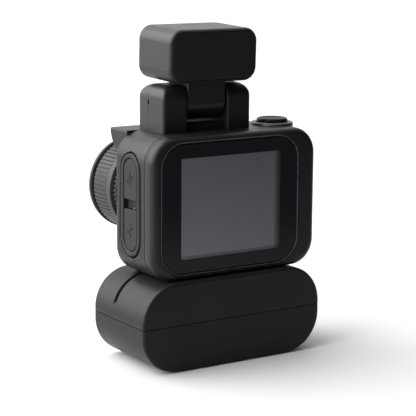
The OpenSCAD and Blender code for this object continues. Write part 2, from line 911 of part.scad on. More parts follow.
// Coil spring under the plunger, swept as one closed tube along a helix.
module shutter_spring() {
    sides = 6;
    rings = spring_turns * 16;
    rise = spring_h - 2 * spring_wire - 0.1;
    points = [
        for (i = [0:rings], k = [0:sides - 1])
            let (turn = 360 * spring_turns * i / rings, around = 360 * k / sides,
                 rr = spring_r + spring_wire * cos(around))
            [rr * cos(turn), rr * sin(turn), rise * i / rings + spring_wire * sin(around)]
    ];
    walls = [
        for (i = [0:rings - 1], k = [0:sides - 1])
            let (a = i * sides + k, b = i * sides + (k + 1) % sides)
            [a, a + sides, b + sides, b]
    ];
    start_cap = [for (k = [0:sides - 1]) k];
    end_cap = [for (k = [sides - 1:-1:0]) rings * sides + k];
    color(steel) at_shutter() translate([0, 0, plunger_low - spring_h + spring_wire + 0.05])
        polyhedron(points, concat(walls, [start_cap, end_cap]));
}

module shutter_switch() {
    color(grey) at_shutter() translate([0, 0, plunger_low - spring_h]) {
        translate([-switch_w / 2, -switch_w / 2, -switch_h]) cube([switch_w, switch_w, switch_h]);
        translate([0, 0, -0.5]) cylinder(r = 0.9, h = 0.5 + nub_h);
    }
}

module power_shape(grow, h) {
    w = power_w + 2 * grow;
    l = power_l + 2 * grow;
    linear_extrude(h) {
        square([w, l - w], center = true);
        for (s = [-1, 1]) translate([0, s * (l - w) / 2]) circle(w / 2);
    }
}

module power_button() {
    color(black) at_power() {
        translate([0, 0, inner_r - 1]) power_shape(0, body_wall + 1 + power_proud);
        translate([0, 0, inner_r - 1.2]) power_shape(0.5, 0.6);
    }
}

module power_switch() {
    color(grey) at_power() translate([-1.2, -1, inner_r - 3.6]) cube([2.4, 3, 1.6]);
}

// ---- hinge block --------------------------------------------------------

module block_outline() {
    intersection() {
        union() {
            translate([-block_w / 2, front_y, body_h]) cube([block_w, block_d, block_h - block_edge_r]);
            translate([-block_w / 2 + block_edge_r, front_y, body_h])
                cube([block_w - 2 * block_edge_r, block_d, block_h]);
            for (s = [-1, 1])
                translate([s * (block_w / 2 - block_edge_r), 0, body_h + block_h - block_edge_r])
                    rod_y(block_edge_r, front_y, block_y1);
        }
        translate([-block_w, 0, 0]) {
            translate([0, front_y, body_h]) cube([2 * block_w, block_d, block_h - block_top_r]);
            translate([0, front_y + block_top_r, body_h])
                cube([2 * block_w, block_d - 2 * block_top_r, block_h]);
            for (y = [front_y + block_top_r, block_y1 - block_top_r])
                translate([0, y, body_h + block_h - block_top_r]) rotate([0, 90, 0])
                    cylinder(r = block_top_r, h = 2 * block_w);
        }
    }
}

module block_half(y0, y1) {
    color(black) at_body() translate([block_dx, 0, 0]) difference() {
        intersection() {
            block_outline();
            block([-block_w, y0, 0], [block_w, y1, body_h * 2]);
        }
        block([-ear_gap / 2, front_y + apron_t, body_h + web_h], [ear_gap / 2, body_d, body_h * 2]);
        block([-ear_gap / 2, -body_d, body_h + apron_h], [ear_gap / 2, body_d, body_h * 2]);
        block([-ear_gap / 2, block_y1 - web_inset, body_h - 1], [ear_gap / 2, body_d, body_h * 2]);
        translate([0, hinge_y, hinge_z]) rotate([0, 90, 0])
            translate([0, 0, -block_w / 2 - 1]) cylinder(r = pin_r, h = block_w - 2);
        clamp_screw_places() rod_y(block_screw_r + 0.05, front_y + 3, block_y1 - 4);
        foot_screw_places() cylinder(r = block_screw_r + 0.05, h = foot_screw_l + 0.5);
        notch();
    }
}

// Small pry notch on the seam of each ear.
module notch() {
    for (s = [-1, 1])
        translate([s * block_w / 2 - 0.5, block_split_y - 0.5, hinge_z - 0.8]) cube([1, 1, 1.6]);
}

module hinge_block_front() { block_half(front_y, block_split_y); }
module hinge_block_rear() { block_half(block_split_y, block_y1); }

// Two screws clamp the halves together, and two hold the block from inside the body.
module clamp_screw_places() {
    for (s = [-1, 1]) translate([s * (block_w / 2 - 2.4), 0, body_h + 4]) children();
}

module foot_screw_places() {
    for (s = [-1, 1])
        translate([s * (ear_gap / 2 + 3), (block_split_y + block_y1) / 2, body_h]) children();
}

module block_screws() {
    color(steel) at_body() translate([block_dx, 0, 0]) {
        clamp_screw_places() rod_y(block_screw_r, front_y + 3, block_y1 - 4);
        foot_screw_places() {
            translate([0, 0, -body_wall]) cylinder(r = block_screw_r, h = body_wall + foot_screw_l);
            translate([0, 0, -body_wall - 1]) cylinder(r = 2 * block_screw_r, h = 1);
        }
    }
}

module hinge_pin() {
    color(steel) at_hinge() rotate([0, 90, 0])
        translate([0, 0, -block_w / 2 + 1]) cylinder(r = pin_r, h = block_w - 4);
}

module pin_cap() {
    color(dark) at_hinge() rotate([0, 90, 0]) translate([0, 0, -block_w / 2]) cylinder(r = pin_r, h = 1);
}

module friction_washers() {
    color(steel) at_hinge() for (s = [-1, 1])
        translate([s * (ear_gap / 2 - washer_t / 2), 0, 0]) rotate([0, 90, 0]) difference() {
            cylinder(r = arm_r - 1.5, h = washer_t, center = true);
            cylinder(r = pin_r, h = 1, center = true);
        }
}

// ---- lamp head ----------------------------------------------------------

module head_slab(inset, y0, y1) {
    translate([0, 0, head_mid_z])
        slab_y(head_w - 2 * inset, head_h - 2 * inset, max(head_r - inset, 0.4), y0, y1);
}

module head_arm() {
    top = head_bottom + 3;
    color(dark) at_head() difference() {
        union() {
            rotate([0, 90, 0]) translate([0, 0, -arm_w / 2]) cylinder(r = arm_r, h = arm_w);
            block([-arm_w / 2, -arm_r, 0], [arm_w / 2, arm_r, head_bottom]);
            block([-arm_w / 2 + 2, tab_y0, 0], [arm_w / 2 - 2, tab_y1, top]);
        }
        rotate([0, 90, 0]) translate([0, 0, -arm_w]) cylinder(r = pin_r + run_gap, h = 2 * arm_w);
    }
}

module head_boss_places() {
    for (sx = [-1, 1], sz = [-1, 1])
        translate([sx * (head_w / 2 - head_wall - 1.6), 0,
                   head_mid_z + sz * (head_h / 2 - head_wall - 1.6)])
            children();
}

module head_shell() {
    color(black) at_head() difference() {
        head_slab(0, head_y0, head_y1);
        difference() {
            union() {
                head_slab(head_wall, head_y0 + window_t + 1, head_y1 - cover_t - 1);
                head_slab(head_wall + 1, head_y0, head_y1);
            }
            head_boss_places() rod_y(head_boss_r, head_y1 - cover_t - head_screw_l - 1, head_y1);
        }
        head_boss_places() rod_y(head_screw_r + 0.05, head_y1 - cover_t - head_screw_l - 0.5, head_y1);
        head_slab(head_wall - 0.6, head_y0 - 1, head_y0 + window_t);
        head_slab(head_wall - 0.6, head_y1 - cover_t, head_y1 + 1);
        block([-arm_w / 2 + 2 - seat_gap, tab_y0 - seat_gap, 0],
              [arm_w / 2 - 2 + seat_gap, tab_y1 + seat_gap, head_bottom + head_wall + 1]);
    }
}

module head_rear_cover() {
    color(black) at_head() head_slab(head_wall - 0.6 + seat_gap, head_y1 - cover_t, head_y1 - 0.1);
}

module lamp_window() {
    color([0.85, 0.85, 0.82]) at_head()
        head_slab(head_wall - 0.6 + seat_gap, head_y0 + 0.1, head_y0 + window_t);
}

// Open tray behind the window that throws the light forwards.
module reflector() {
    y0 = head_y0 + window_t;
    color([0.9, 0.9, 0.9]) at_head() difference() {
        head_slab(head_wall + 1 + seat_gap, y0, led_y0);
        head_slab(head_wall + 2 + seat_gap, y0 - 1, led_y0 - 1);
    }
}

module led_board() {
    color(board_green) at_head() head_slab(head_wall + 1 + seat_gap, led_y0, led_y1);
}

module heat_sink() {
    y1 = head_y1 - cover_t - 1;
    w = head_w - 2 * head_wall - 12;
    fins = 6;
    color(grey) at_head() translate([0, 0, head_mid_z]) {
        block([-w / 2, led_y1, -1], [w / 2, led_y1 + 1.5, head_h / 2 - head_wall - 2]);
        for (i = [0:fins - 1])
            translate([-w / 2 + i * (w - 1) / (fins - 1), led_y1, -1])
                cube([1, y1 - led_y1, head_h / 2 - head_wall - 1]);
    }
}

module head_screws() {
    y1 = head_y1 - cover_t;
    color(steel) at_head() head_boss_places() rod_y(head_screw_r, y1 - head_screw_l, y1);
}

base_lower_shell();
base_upper_shell();
rubber_feet();
tripod_insert();
base_screws();
base_battery();
battery_tray();
base_board();
base_magnets();
contact_block();
contact_pins();
front_shell();
rear_shell();
screen_trim();
screen_glass();
display_panel();
main_board();
camera_battery();
camera_magnets();
contact_pads();
speaker();
port_frame();
usb_socket();
audio_socket();
upper_port_cover();
lower_port_cover();
lens_barrel();
lens_nut();
lens_front_ring();
focus_ring();
rear_ring();
front_lens();
inner_baffle();
rear_lens();
image_sensor();
sensor_board();
lens_hood();
shutter_collar();
shutter_button();
shutter_spring();
shutter_switch();
power_button();
power_switch();
hinge_block_front();
hinge_block_rear();
block_screws();
hinge_pin();
pin_cap();
friction_washers();
head_shell();
head_rear_cover();
head_arm();
lamp_window();
reflector();
led_board();
heat_sink();
head_screws();
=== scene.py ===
"""Looks of the compact action camera with a tilting lamp head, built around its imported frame."""

import json
import math

import bmesh
import bpy
from mathutils import Matrix, Vector


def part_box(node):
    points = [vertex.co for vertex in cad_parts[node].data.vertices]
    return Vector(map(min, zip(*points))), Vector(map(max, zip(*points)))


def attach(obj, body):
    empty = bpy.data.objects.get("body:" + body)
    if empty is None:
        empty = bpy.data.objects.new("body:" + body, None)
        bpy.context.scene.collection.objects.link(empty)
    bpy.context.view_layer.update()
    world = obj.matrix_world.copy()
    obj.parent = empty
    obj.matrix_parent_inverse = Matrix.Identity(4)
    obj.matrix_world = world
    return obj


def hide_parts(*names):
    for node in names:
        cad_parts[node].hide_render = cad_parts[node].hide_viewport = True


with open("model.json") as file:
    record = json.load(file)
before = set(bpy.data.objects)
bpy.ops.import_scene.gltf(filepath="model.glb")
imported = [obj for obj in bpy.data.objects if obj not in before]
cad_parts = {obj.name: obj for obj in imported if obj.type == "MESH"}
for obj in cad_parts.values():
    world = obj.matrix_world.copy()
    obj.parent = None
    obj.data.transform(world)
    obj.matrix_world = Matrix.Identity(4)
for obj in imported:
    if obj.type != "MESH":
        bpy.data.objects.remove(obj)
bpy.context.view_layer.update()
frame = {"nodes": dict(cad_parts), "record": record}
MM = 0.001


# ---- sizes that the frame's boxes don't give, in millimetres ------------------

SKIN = 0.03  # how far the pieces stay inside the CAD model's outer faces
BODY_R = 9.5
BODY_FILLET = 2.7
BASE_W = 76.0
BASE_R = 14.2
MAGNET_COVER = 2.0  # from the base's magnets up to its top
SEAM_LIP = 1.2  # how far the lower shell reaches up inside the upper one
GROOVE_Y = -3.7
GROOVE_FOOT = 22.4  # height at which the groove over the base ends
LCD_W, LCD_H = 42.1, 35.8
FRAME_W, FRAME_H = 13.7, 37.5
SLOT_W, SLOT_H = 9.4, 33.5
COVER_W = 8.86
COVER_PIVOT = 4.55  # from a port cover's round end to its pins
HOOD_DROP = 9.0
POWER_W, POWER_L = 2.6, 5.0
GAP = 17.1
WEB, WEB_INSET = 2.6, 2.2
APRON_H, APRON_T = 6.3, 1.6
EDGE_X, EDGE_Y = 4.5, 5.0
HEAD_LEAN = 2.0
HEAD_W, HEAD_H, HEAD_R = 36.6, 19.0, 5.0
HEAD_Y0, HEAD_Y1, HEAD_Z = -10.9, 11.4, 17.1
ARM_R, ARM_W, ARM_TOP = 6.7, 15.9, 7.6


# ---- measures from the frame, in millimetres --------------------------------

def node_box(node):
    """Lowest corner, highest corner and centre of a CAD node, in millimetres."""
    low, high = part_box(node)
    return low / MM, high / MM, (low + high) / (2 * MM)


base_low, lower_shell_high, _ = node_box("base_lower_shell")
base_top = node_box("base_magnets")[1].z + MAGNET_COVER
seam_z = lower_shell_high.z - SEAM_LIP
body_low, body_high, body_mid = node_box("front_shell")
body_rear = node_box("rear_shell")[1].y
split_y = body_high.y
glass_low, glass_high, glass_mid = node_box("screen_glass")
trim_low, trim_high, _ = node_box("screen_trim")
_, port_high, port_mid = node_box("port_frame")
lens_mid = node_box("lens_nut")[2]
rim_low, rim_high, _ = node_box("lens_front_ring")
focus_low, focus_high, _ = node_box("focus_ring")
teeth_low, teeth_high, _ = node_box("rear_ring")
hood_low, hood_high, _ = node_box("lens_hood")
collar_low, collar_high, collar_mid = node_box("shutter_collar")
button_low, button_high, _ = node_box("shutter_button")
block_low = node_box("hinge_block_front")[0]
block_split = node_box("hinge_block_front")[1].y
block_high = node_box("hinge_block_rear")[1]
pin_mid = node_box("hinge_pin")[2]

# ---- mesh helpers, in millimetres -------------------------------------------

def new_object(name, bm):
    """Object in the scene from a bmesh, cleaned and with its faces turned outwards."""
    bmesh.ops.remove_doubles(bm, verts=bm.verts, dist=1e-5)
    bmesh.ops.recalc_face_normals(bm, faces=bm.faces)
    mesh = bpy.data.meshes.new(name)
    bm.to_mesh(mesh)
    bm.free()
    obj = bpy.data.objects.new(name, mesh)
    bpy.context.scene.collection.objects.link(obj)
    return obj


def outline(w, h, radii, steps=10):
    """Rectangle with round corners, centred. radii is one radius, or four from the +a +b corner on."""
    if not isinstance(radii, (list, tuple)):
        radii = [radii] * 4
    points = []
    for k, (sa, sb) in enumerate([(1, 1), (-1, 1), (-1, -1), (1, -1)]):
        r = max(min(radii[k], w / 2 - 1e-3, h / 2 - 1e-3), 0.004)
        for i in range(steps + 1):
            t = math.radians(90 * k + 90 * i / steps)
            points.append((sa * (w / 2 - r) + r * math.cos(t), sb * (h / 2 - r) + r * math.sin(t)))
    return points


def inset_outline(w, h, radii, inset, steps=10):
    """The same outline moved inwards by inset, with its corners' radii reduced to match."""
    if not isinstance(radii, (list, tuple)):
        radii = [radii] * 4
    return outline(w - 2 * inset, h - 2 * inset, [r - inset for r in radii], steps)


def along(axis, ca, cb, matrix=None):
    """Places (a, b, t): t along the axis, and a, b across it around (ca, cb)."""
    order = {"x": (2, 0, 1), "y": (0, 2, 1), "z": (0, 1, 2)}[axis]

    def put(a, b, t):
        p = (ca + a, cb + b, t)
        v = Vector((p[order[0]], p[order[1]], p[order[2]]))
        return matrix @ v if matrix else v
    return put


def loft(name, sections, closed=False):
    """Skin over equal rings of points: closed joins the last to the first, otherwise both ends are capped."""
    bm = bmesh.new()
    rings = [[bm.verts.new(p) for p in s] for s in sections]
    for a, b in list(zip(rings, rings[1:])) + ([(rings[-1], rings[0])] if closed else []):
        for i in range(len(a)):
            j = (i + 1) % len(a)
            bm.faces.new((a[i], a[j], b[j], b[i]))
    if not closed:
        bm.faces.new(rings[0])
        bm.faces.new(rings[-1])
    return new_object(name, bm)


def fillet_rows(t0, t1, f0, f1, steps=6):
    """(place, inset) rows of a slab from t0 to t1 with its two ends rounded by f0 and f1."""
    rows = []
    for i in range(steps + 1 if f0 > 0 else 1):
        a = math.pi / 2 * i / steps if f0 > 0 else math.pi / 2
        rows.append((t0 + f0 * (1 - math.cos(a)), f0 * (1 - math.sin(a))))
    for i in range(steps + 1 if f1 > 0 else 1):
        a = math.pi / 2 * (1 - i / steps) if f1 > 0 else math.pi / 2
        rows.append((t1 - f1 * (1 - math.cos(a)), f1 * (1 - math.sin(a))))
    return rows


def slab(name, w, h, radii, t0, t1, f0, f1, put, steps=10, rows=6):
    """Plate of an outline from t0 to t1, with its two ends rounded by f0 and f1."""
    return loft(name, [[put(a, b, t) for a, b in inset_outline(w, h, radii, d, steps)]
                       for t, d in fillet_rows(t0, t1, f0, f1, rows)])


def band(name, w, h, radii, profile, put, steps=10):
    """Ring around an outline; profile is a closed list of (place, inset)."""
    return loft(name, [[put(a, b, t) for a, b in inset_outline(w, h, radii, d, steps)]
                       for t, d in profile], closed=True)


def lathe(name, profile, put, count=96, closed=False):
    """Turned piece; profile is a list of (radius, place)."""
    circle = [2 * math.pi * i / count for i in range(count)]
    return loft(name, [[put(max(r, 1e-4) * math.cos(a), max(r, 1e-4) * math.sin(a), t) for a in circle]
                       for r, t in profile], closed)


def box(name, a, b, matrix=None):
    """Block from corner a to corner b, used to cut, join or trim."""
    put = (lambda v: matrix @ v) if matrix else (lambda v: v)
    corners = ((a[0], a[1]), (b[0], a[1]), (b[0], b[1]), (a[0], b[1]))
    return loft(name, [[put(Vector((x, y, z))) for x, y in corners] for z in (a[2], b[2])])


def cad_copy(node):
    """A closed copy of a CAD node's mesh, in millimetres."""
    bm = bmesh.new()
    bm.from_mesh(frame["nodes"][node].data)
    bmesh.ops.scale(bm, vec=(1 / MM,) * 3, verts=bm.verts)
    bmesh.ops.remove_doubles(bm, verts=bm.verts, dist=2e-3)
    bmesh.ops.dissolve_degenerate(bm, edges=bm.edges, dist=1e-4)
    mesh = bpy.data.meshes.new(node + "_copy")
    bm.to_mesh(mesh)
    bm.free()
    obj = bpy.data.objects.new(node + "_copy", mesh)
    bpy.context.scene.collection.objects.link(obj)
    return obj


def bake_modifiers(obj):
    """Applies an object's modifiers to its mesh."""
    bpy.context.view_layer.update()
    shown = obj.evaluated_get(bpy.context.evaluated_depsgraph_get())
    mesh = bpy.data.meshes.new_from_object(shown)
    obj.modifiers.clear()
    obj.data = mesh


def cut(obj, *tools, how="DIFFERENCE"):
    """Cuts, joins or intersects obj with each tool, and removes the tools."""
    for tool in tools:
        change = obj.modifiers.new("cut", "BOOLEAN")
        change.operation = how
        change.solver = "EXACT"
        change.object = tool
        bake_modifiers(obj)
        bpy.data.objects.remove(tool)
    return obj


def joined(first, *others):
    """Joins the others to the first, and removes them."""
    return cut(first, *others, how="UNION")


def common(first, *others):
    """Keeps what the first has in common with each of the others."""
    return cut(first, *others, how="INTERSECT")


def piece(obj, name, body, material, nodes, angle=32):
    """Turns obj into a finished piece: smooth where it curves, in metres, riding on its body."""
    bm = bmesh.new()
    bm.from_mesh(obj.data)
    bmesh.ops.remove_doubles(bm, verts=bm.verts, dist=5e-4)
    bmesh.ops.dissolve_degenerate(bm, edges=bm.edges, dist=5e-4)
    bmesh.ops.recalc_face_normals(bm, faces=bm.faces)
    bmesh.ops.scale(bm, vec=(MM,) * 3, verts=bm.verts)
    bm.to_mesh(obj.data)
    bm.free()
    obj.name = name
    obj.data.name = name
    obj.data.shade_smooth()
    obj.data.set_sharp_from_angle(angle=math.radians(angle))
    weigh = obj.modifiers.new("even", "WEIGHTED_NORMAL")
    weigh.keep_sharp = True
    weigh.weight = 80
    bake_modifiers(obj)
    obj.data.materials.clear()
    for m in material if isinstance(material, (list, tuple)) else [material]:
        obj.data.materials.append(m)
    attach(obj, body)
    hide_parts(*nodes)
    return obj


# ---- materials --------------------------------------------------------------

class Nodes:
    """Short way to wire a material's nodes."""

    def __init__(self, name):
        self.material = bpy.data.materials.new(name)
        self.material.use_nodes = True
        self.tree = self.material.node_tree
        self.shader = self.tree.nodes["Principled BSDF"]
        self.where = self.tree.nodes.new("ShaderNodeTexCoord").outputs["Object"]

    def add(self, kind, **values):
        made = self.tree.nodes.new("ShaderNode" + kind)
        for key, value in values.items():
            if hasattr(made, key):
                setattr(made, key, value)
            else:
                made.inputs[key.replace("_", " ")].default_value = value
        return made

    def link(self, a, b):
        self.tree.links.new(a, b)

    def noise(self, size, detail=2.0, stretch=None):
        """Noise whose features are about size metres across."""
        made = self.add("TexNoise", Scale=1 / size, Detail=detail, Roughness=0.55)
        source = self.where
        if stretch:
            mapping = self.add("Mapping")
            mapping.inputs["Scale"].default_value = stretch
            self.link(source, mapping.inputs["Vector"])
            source = mapping.outputs["Vector"]
        self.link(source, made.inputs["Vector"])
        return made.outputs["Fac"]

    def spread(self, source, low, high, start=0.3, end=0.7):
        made = self.add("MapRange")
        made.inputs["From Min"].default_value = start
        made.inputs["From Max"].default_value = end
        made.inputs["To Min"].default_value = low
        made.inputs["To Max"].default_value = high
        self.link(source, made.inputs["Value"])
        return made.outputs["Result"]

    def between(self, source, low, high, start=0.3, end=0.7):
        ramp = self.add("ValToRGB")
        ramp.color_ramp.elements[0].position = start
        ramp.color_ramp.elements[1].position = end
        ramp.color_ramp.elements[0].color = (*low, 1)
        ramp.color_ramp.elements[1].color = (*high, 1)
        self.link(source, ramp.inputs["Fac"])
        return ramp.outputs["Color"]

    def bump(self, source, depth, strength, below=None):
        made = self.add("Bump")
        made.inputs["Distance"].default_value = depth
        made.inputs["Strength"].default_value = strength
        self.link(source, made.inputs["Height"])
        if below:
            self.link(below, made.inputs["Normal"])
        return made.outputs["Normal"]

    def set(self, **values):
        for key, value in values.items():
            self.shader.inputs[key.replace("_", " ")].default_value = value

    def wire(self, colour=None, rough=None, normal=None):
        for source, target in ((colour, "Base Color"), (rough, "Roughness"), (normal, "Normal")):
            if source:
                self.link(source, self.shader.inputs[target])
        return self.material


def shade(colour, factor):
    """The colour made lighter or darker by a factor."""
    return tuple(c * factor for c in colour)


def plastic(name, colour, rough, grain=0.00022, bump=0.25, mottle=0.12, spec=0.16):
    """Moulded plastic: fine spark-eroded grain, faint flow mottling, and slightly uneven gloss."""
    n = Nodes(name)
    n.set(Specular_IOR_Level=spec, IOR=1.5)
    flow = n.noise(0.014, 3.0)
    fine = n.noise(grain, 3.0)
    patch = n.noise(0.0035, 4.0)
    tint = n.between(flow, shade(colour, 1 - mottle), shade(colour, 1 + mottle))
    speck = n.between(fine, (0.86,) * 3, (1.14,) * 3, 0.35, 0.65)
    mixed = n.add("Mix", data_type="RGBA", blend_type="MULTIPLY")
    mixed.inputs["Factor"].default_value = 1.0
    n.link(tint, mixed.inputs[6])
    n.link(speck, mixed.inputs[7])
    gloss = n.spread(patch, rough - 0.05, rough + 0.06)
    coarse = n.bump(patch, 0.00001, 0.12)
    return n.wire(mixed.outputs[2], gloss, n.bump(fine, 0.00002, bump, coarse))


def metal(name, colour, rough):
    """Plain metal with an uneven, slightly worn gloss."""
    n = Nodes(name)
    n.set(Metallic=1.0)
    streak = n.noise(0.0008, 3.0, (1, 1, 1))
    patch = n.noise(0.006, 2.0)
    tint = n.between(patch, shade(colour, 0.9), shade(colour, 1.08))
    return n.wire(tint, n.spread(streak, rough - 0.07, rough + 0.09), n.bump(streak, 0.00002, 0.15))


def glass_like(name, colour, rough, coat=0.0, spec=0.5):
    """Dark glossy pane with the faint smears that glass always carries."""
    n = Nodes(name)
    n.set(Specular_IOR_Level=spec, IOR=1.5, Coat_Weight=coat, Coat_Roughness=0.03)
    smear = n.noise(0.009, 4.0, (1, 1, 0.45))
    dust = n.noise(0.0004, 2.0)
    tint = n.between(smear, shade(colour, 0.93), shade(colour, 1.07))
    return n.wire(tint, n.spread(smear, rough, rough + 0.035), n.bump(dust, 0.000002, 0.06))


def display_with_painted_shading(name, colour):
    """Unlit panel under the glass, with painted light and shade: darker towards its top, and a painted shade
    frame on two sides.
    """
    n = Nodes(name)
    n.set(Specular_IOR_Level=0.07, IOR=1.5)
    axes = n.add("SeparateXYZ")
    n.link(n.where, axes.inputs[0])
    edge, foot = (glass_mid.x - LCD_W / 2) * MM, (glass_mid.z - LCD_H / 2) * MM
    total = n.spread(n.noise(0.012, 3.0), 0.97, 1.03)
    # Painted shading: darker towards the top and lighter towards +X, with painted shade bands along the foot
    # and the -X side.
    for share in (
            n.spread(axes.outputs["Z"], 1.0, 0.69, foot, foot + LCD_H * MM),
            n.spread(axes.outputs["Z"], 0.6, 1.0, foot + 0.0009, foot + 0.0013),
            n.spread(axes.outputs["X"], 0.92, 1.04, edge, edge + 0.042),
            n.spread(axes.outputs["X"], 0.62, 1.0, edge + 0.0021, edge + 0.0026),
            n.spread(axes.outputs["X"], 0.48, 1.0, edge + 0.0010, edge + 0.0014)):
        product = n.add("Math", operation="MULTIPLY")
        n.link(total, product.inputs[0])
        n.link(share, product.inputs[1])
        total = product.outputs[0]
    return n.wire(n.between(total, (0, 0, 0), colour, 0.0, 1.0), n.spread(n.noise(0.009, 4.0), 0.1, 0.14))


BLACK = (0.0075, 0.0077, 0.0088)
paint = {
    "base_plastic": plastic("base_plastic", (0.009, 0.0092, 0.0105), 0.36, spec=0.14),
    "body_plastic": plastic("body_plastic", BLACK, 0.36, spec=0.21),
    "trim_plastic": plastic("trim_plastic", (0.014, 0.014, 0.015), 0.36, bump=0.12, spec=0.12),
    "rim_plastic": plastic("rim_plastic", (0.045, 0.045, 0.047), 0.3, bump=0.1, spec=0.3),
    "block_plastic": plastic("block_plastic", (0.010, 0.0102, 0.0116), 0.36, spec=0.27),
    "head_plastic": plastic("head_plastic", (0.010, 0.0102, 0.0118), 0.36, spec=0.27),
    "control_metal": plastic("control_metal", (0.042, 0.042, 0.044), 0.34, bump=0.1, spec=0.42),
    "control_gloss": plastic("control_gloss", (0.008, 0.008, 0.009), 0.3, bump=0.05, spec=0.08),
    "lens_metal": plastic("lens_metal", (0.022, 0.022, 0.023), 0.34, grain=0.00015, bump=0.15),
    "ring_metal": plastic("ring_metal", (0.03, 0.03, 0.031), 0.4, grain=0.00018, bump=0.2),
    "rubber": plastic("rubber", (0.02, 0.02, 0.02), 0.75, grain=0.0004, bump=0.5),
    "inner_plastic": plastic("inner_plastic", (0.03, 0.03, 0.032), 0.5),
    "cell_wrap": plastic("cell_wrap", (0.1, 0.16, 0.3), 0.3, grain=0.001, bump=0.1),
    "circuit_board": plastic("circuit_board", (0.01, 0.08, 0.035), 0.35, grain=0.0009, bump=0.3),
    "window_plastic": plastic("window_plastic", (0.62, 0.61, 0.56), 0.35, grain=0.0006, bump=0.4,
                              mottle=0.04),
    "reflector_white": plastic("reflector_white", (0.75, 0.75, 0.74), 0.3, mottle=0.03),
    "brass": metal("brass", (0.62, 0.45, 0.2), 0.3),
    "steel": metal("steel", (0.5, 0.5, 0.52), 0.28),
    "heat_sink_metal": metal("heat_sink_metal", (0.55, 0.56, 0.58), 0.4),
    "screen_glass": glass_like("screen_glass", (0.0075, 0.0078, 0.0102), 0.08, spec=0.14),
    "display": display_with_painted_shading("display", (0.134, 0.135, 0.148)),
    "lens_glass": glass_like("lens_glass", (0.012, 0.016, 0.03), 0.03, coat=0.6),
    "sensor_glass": glass_like("sensor_glass", (0.03, 0.05, 0.04), 0.06),
}
slot_of = {row["node"]: row["material_slot"] for row in frame["record"]["subparts"]}
for name, obj in frame["nodes"].items():
    obj.data.materials.clear()
    obj.data.materials.append(paint[slot_of[name]])


# ---- battery base -----------------------------------------------------------

base_mid_z = (base_low.z + base_top) / 2
base_h = base_top - base_low.z
base_y0, base_y1 = base_low.y, -base_low.y
base_put = along("y", 0, base_mid_z)


def base_envelope():
    """The base's outer form with softened rims, to trim its shells."""
    return slab("envelope", BASE_W - 2 * SKIN, base_h - 2 * SKIN, BASE_R - SKIN,
                base_y0 + SKIN, base_y1 - SKIN, 1.1, 1.1, base_put, steps=20, rows=6)


def base_groove():
    """Chamfered mouth of the groove that runs over the top of the base."""
    y = GROOVE_Y
    profile = [(y - 1.3, -0.5), (y + 1.3, -0.5), (y + 1.0, 0.1), (y + 0.68, 0.42), (y - 0.68, 0.42),
               (y - 1.0, 0.1)]
    return common(band("mouth", BASE_W, base_h, BASE_R, profile, base_put, steps=20),
                  box("over", (-50, -10, GROOVE_FOOT), (50, 10, 60)))


def seam_ring():
    """Thin groove along the seam between the two base shells."""
    ring = box("seam", (-50, -30, seam_z - 0.13), (50, 30, seam_z + 0.13))
    return cut(ring, slab("core", BASE_W - 1.0, base_h - 1.0, BASE_R - 0.5, base_y0 + 0.5, base_y1 - 0.5,
                          0.8, 0.8, base_put, steps=12))


lower = common(cad_copy("base_lower_shell"), base_envelope())
cut(lower, seam_ring())
piece(lower, "base_lower", "base", paint["base_plastic"], ["base_lower_shell"])

upper = common(cad_copy("base_upper_shell"), joined(
    base_envelope(), box("pegs", (-30, -4, base_top - 1), (28, 9, base_top + 3))))
cut(upper, seam_ring(), base_groove())
piece(upper, "base_upper", "base", paint["base_plastic"], ["base_upper_shell"])


# ---- camera body ------------------------------------------------------------

body_w = body_high.x - body_low.x
body_h = body_high.z - body_low.z
body_put = along("y", body_mid.x, body_mid.z)


def body_envelope(grow=0.0):
    """The camera body's outer form with rounded rims, grown outwards if asked."""
    return slab("envelope", body_w + 2 * grow - 2 * SKIN, body_h + 2 * grow - 2 * SKIN, BODY_R + grow - SKIN,
                body_low.y - grow + SKIN, body_rear + grow - SKIN, BODY_FILLET, BODY_FILLET, body_put,
                steps=16, rows=8)


front = common(cad_copy("front_shell"), body_envelope())
rear = common(cad_copy("rear_shell"), body_envelope())
seam = [(split_y - 0.16, -1), (split_y + 0.16, -1), (split_y + 0.16, 0.45), (split_y - 0.16, 0.45)]
cut(front, band("seam", body_w, body_h, BODY_R, seam, body_put, steps=16))
cut(rear, band("seam", body_w, body_h, BODY_R, seam, body_put, steps=16))
piece(front, "body_front", "camera", paint["body_plastic"], ["front_shell"])
piece(rear, "body_rear", "camera", paint["body_plastic"], ["rear_shell"])

trim_w = trim_high.x - trim_low.x
trim_h = trim_high.z - trim_low.z
glass_put = along("y", glass_mid.x, glass_mid.z)
ty = trim_high.y
trim = band("trim", trim_w, trim_h, 9.4, [
    (trim_low.y, 0.1), (ty - 0.35, 0.1), (ty - 0.16, 0.13), (ty - 0.04, 0.22), (ty, 0.32), (ty - 0.05, 0.42),
    (ty - 0.2, 0.5), (ty - 0.75, 0.56), (glass_low.y, 0.75), (glass_low.y, 2.4), (trim_low.y, 2.4)],
    glass_put, steps=16)
piece(trim, "screen_surround", "camera", paint["rim_plastic"], ["screen_trim"])

glass_w = glass_high.x - glass_low.x
glass_h = glass_high.z - glass_low.z
rings = [inset_outline(glass_w, glass_h, 8.5, d, 16) for _, d in fillet_rows(0, 1, 0, 0.22, 4)]
places = [t for t, _ in fillet_rows(glass_low.y, glass_high.y, 0, 0.22, 4)]
rings.append(outline(LCD_W, LCD_H, 0.5, 16))
places.append(glass_high.y)
glass = loft("glass", [[glass_put(a, b, t) for a, b in ring] for ring, t in zip(rings, places)])
piece(glass, "screen_pane", "camera", [paint["screen_glass"], paint["display"]],
      ["screen_glass"])
for face in glass.data.polygons:
    spots = [glass.data.vertices[v].co / MM - glass_mid for v in face.vertices]
    if face.normal.y > 0.9 and all(abs(p.x) < LCD_W / 2 + 0.15 and abs(p.z) < LCD_H / 2 + 0.1 for p in spots):
        face.material_index = 1


# ---- ports ------------------------------------------------------------------

port_put = along("x", port_mid.y, port_mid.z)
port_x = port_high.x

